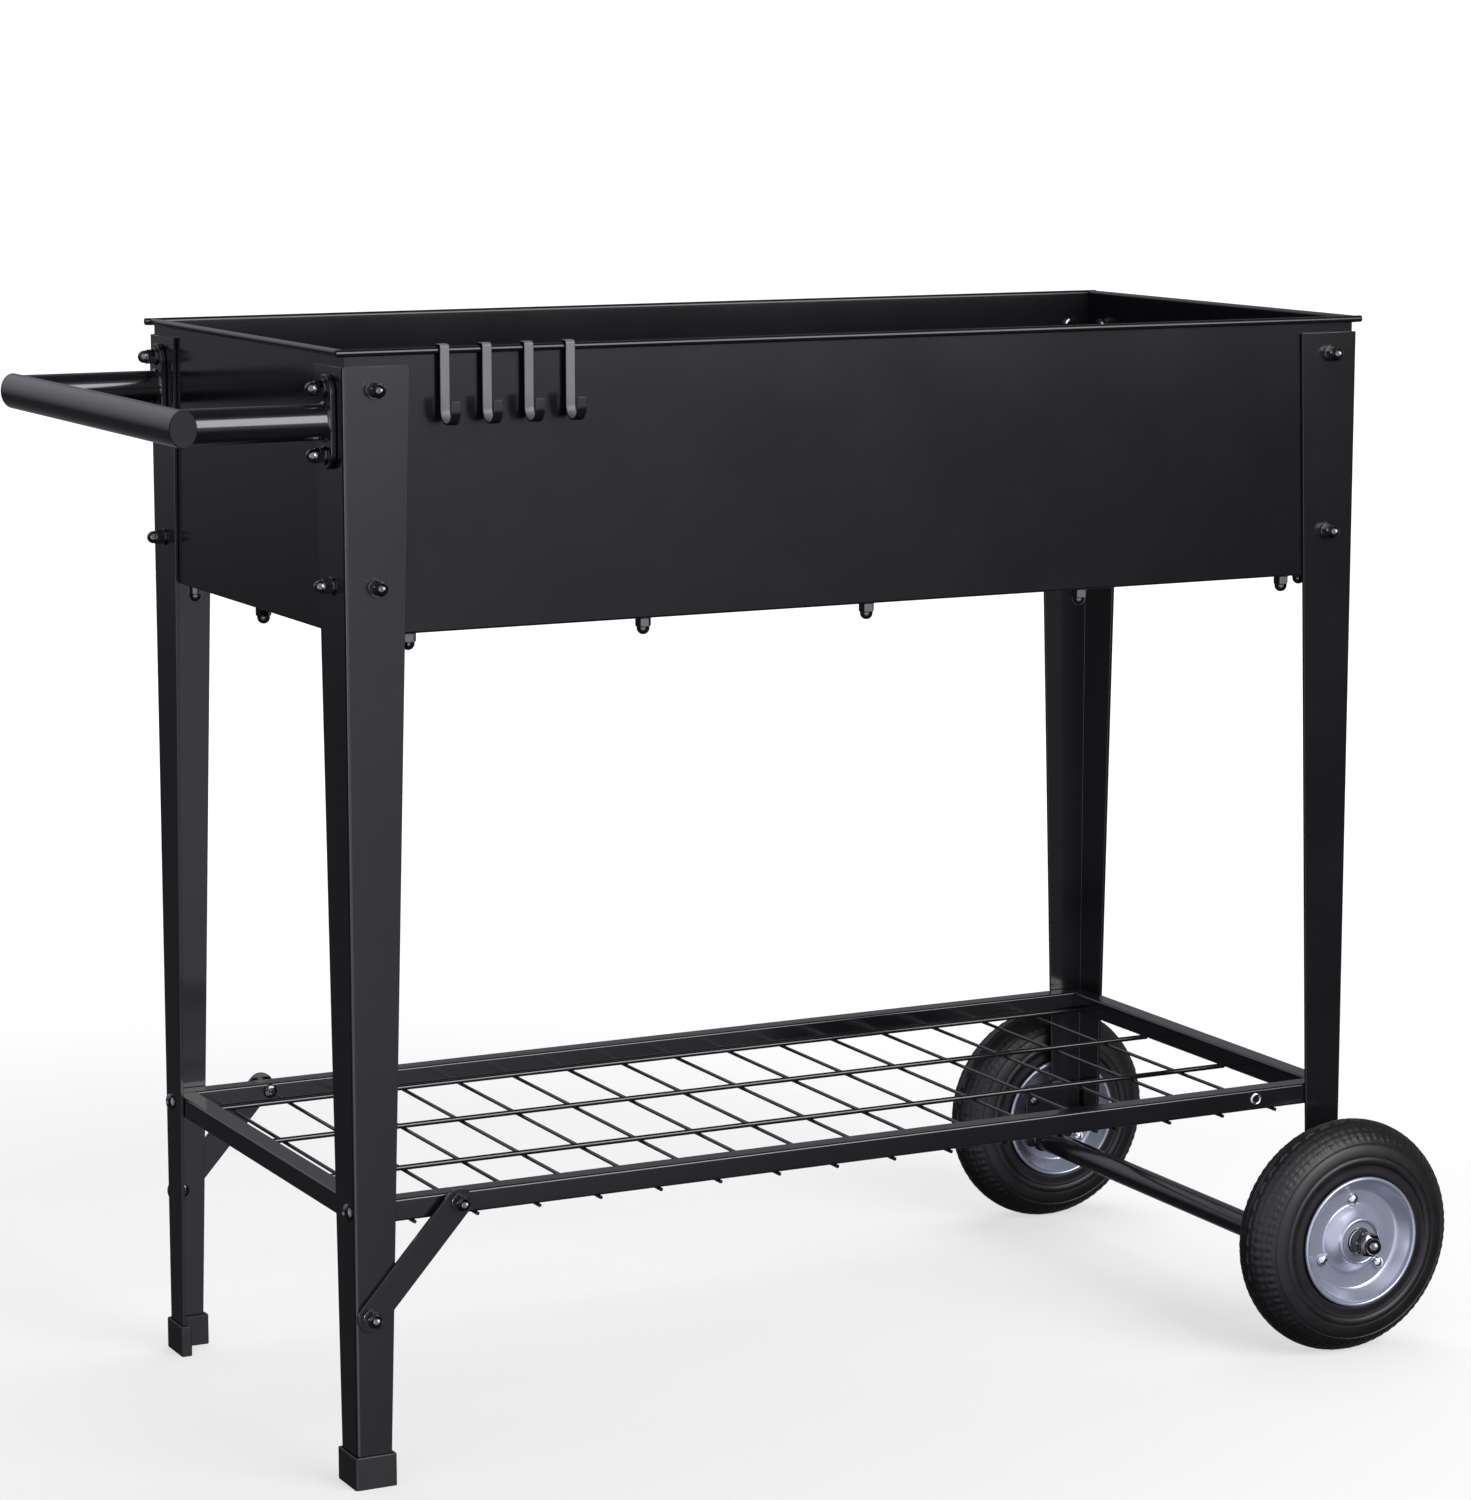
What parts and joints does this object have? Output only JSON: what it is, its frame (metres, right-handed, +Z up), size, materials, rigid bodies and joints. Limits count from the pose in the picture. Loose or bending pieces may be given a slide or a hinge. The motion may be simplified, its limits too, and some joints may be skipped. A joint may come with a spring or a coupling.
{
  "type": "plant trolley",
  "caption": "Raised sheet-steel planter tub on angle legs, with a wire shelf, push handle, rim hooks and a pair of wheels.",
  "frame": {"origin": "centre of the overall length and width, on the ground", "axes": "+X along the tub towards the wheels, away from the handle; +Y from the side with the hooks to the plain side; +Z up"},
  "size_m": [1.022, 0.5402, 0.8019],
  "materials": {
    "powder_coated_steel": "semi-gloss powder coat",
    "black_fastener": "gloss black plating",
    "silver_rim": "satin silver paint",
    "zinc_steel": "bright zinc plate",
    "hook_steel": "satin",
    "tyre_rubber": "matte",
    "boot_rubber": "matte",
    "plug_plastic": "matte"
  },
  "bodies": {
    "frame": {"tub_panel_front": "powder_coated_steel", "tub_panel_back": "powder_coated_steel", "tub_panel_handle_end": "powder_coated_steel", "tub_panel_wheel_end": "powder_coated_steel", "tub_floor": "powder_coated_steel", "leg_front_handle": "powder_coated_steel", "leg_back_handle": "powder_coated_steel", "leg_front_wheel": "powder_coated_steel", "leg_back_wheel": "powder_coated_steel", "boot_front": "boot_rubber", "boot_back": "boot_rubber", "handle_grip": "powder_coated_steel", "handle_plug_front": "plug_plastic", "handle_plug_back": "plug_plastic", "handle_arm_front": "powder_coated_steel", "handle_arm_back": "powder_coated_steel", "shelf_rail_front": "powder_coated_steel", "shelf_rail_back": "powder_coated_steel", "shelf_rail_handle_end": "powder_coated_steel", "shelf_rail_wheel_end": "powder_coated_steel", "shelf_mesh": "powder_coated_steel", "brace_front": "powder_coated_steel", "brace_back": "powder_coated_steel", "axle_bar": "powder_coated_steel", "axle_bolt_front": "black_fastener", "axle_bolt_back": "black_fastener", "bolt_side_front_handle_upper": "black_fastener", "bolt_side_front_handle_lower": "black_fastener", "bolt_side_back_handle_upper": "black_fastener", "bolt_side_back_handle_lower": "black_fastener", "bolt_side_front_wheel_upper": "black_fastener", "bolt_side_front_wheel_lower": "black_fastener", "bolt_side_back_wheel_upper": "black_fastener", "bolt_side_back_wheel_lower": "black_fastener", "bolt_end_front_handle_1": "black_fastener", "bolt_end_front_handle_2": "black_fastener", "bolt_end_front_handle_3": "black_fastener", "bolt_end_back_handle_1": "black_fastener", "bolt_end_back_handle_2": "black_fastener", "bolt_end_back_handle_3": "black_fastener", "bolt_end_front_wheel_1": "black_fastener", "bolt_end_front_wheel_2": "black_fastener", "bolt_end_back_wheel_1": "black_fastener", "bolt_end_back_wheel_2": "black_fastener", "bolt_brace_front_low": "black_fastener", "bolt_brace_front_high": "black_fastener", "bolt_brace_back_low": "black_fastener", "bolt_brace_back_high": "black_fastener"},
    "wheel_front": {"tyre_front": "tyre_rubber", "rim_outer_front": "silver_rim", "rim_inner_front": "silver_rim", "hub_front": "zinc_steel"},
    "wheel_back": {"tyre_back": "tyre_rubber", "rim_outer_back": "silver_rim", "rim_inner_back": "silver_rim", "hub_back": "zinc_steel"},
    "hook_1_body": {"hook_1": "hook_steel"},
    "hook_2_body": {"hook_2": "hook_steel"},
    "hook_3_body": {"hook_3": "hook_steel"},
    "hook_4_body": {"hook_4": "hook_steel"}
  },
  "joints": [
    {"name": "wheel_front_spin", "type": "hinge", "parent": "frame", "child": "wheel_front", "pos_m": [0.41963, -0.2228, 0.0914], "axis": [0, 1, 0], "continuous": true},
    {"name": "wheel_back_spin", "type": "hinge", "parent": "frame", "child": "wheel_back", "pos_m": [0.41963, 0.2228, 0.0914], "axis": [0, 1, 0], "continuous": true},
    {"name": "hook_1_lift", "type": "slide", "parent": "frame", "child": "hook_1_body", "axis": [0, 0, 1], "range_m": [0, 0.05]},
    {"name": "hook_2_lift", "type": "slide", "parent": "frame", "child": "hook_2_body", "axis": [0, 0, 1], "range_m": [0, 0.05]},
    {"name": "hook_3_lift", "type": "slide", "parent": "frame", "child": "hook_3_body", "axis": [0, 0, 1], "range_m": [0, 0.05]},
    {"name": "hook_4_lift", "type": "slide", "parent": "frame", "child": "hook_4_body", "axis": [0, 0, 1], "range_m": [0, 0.05]}
  ]
}
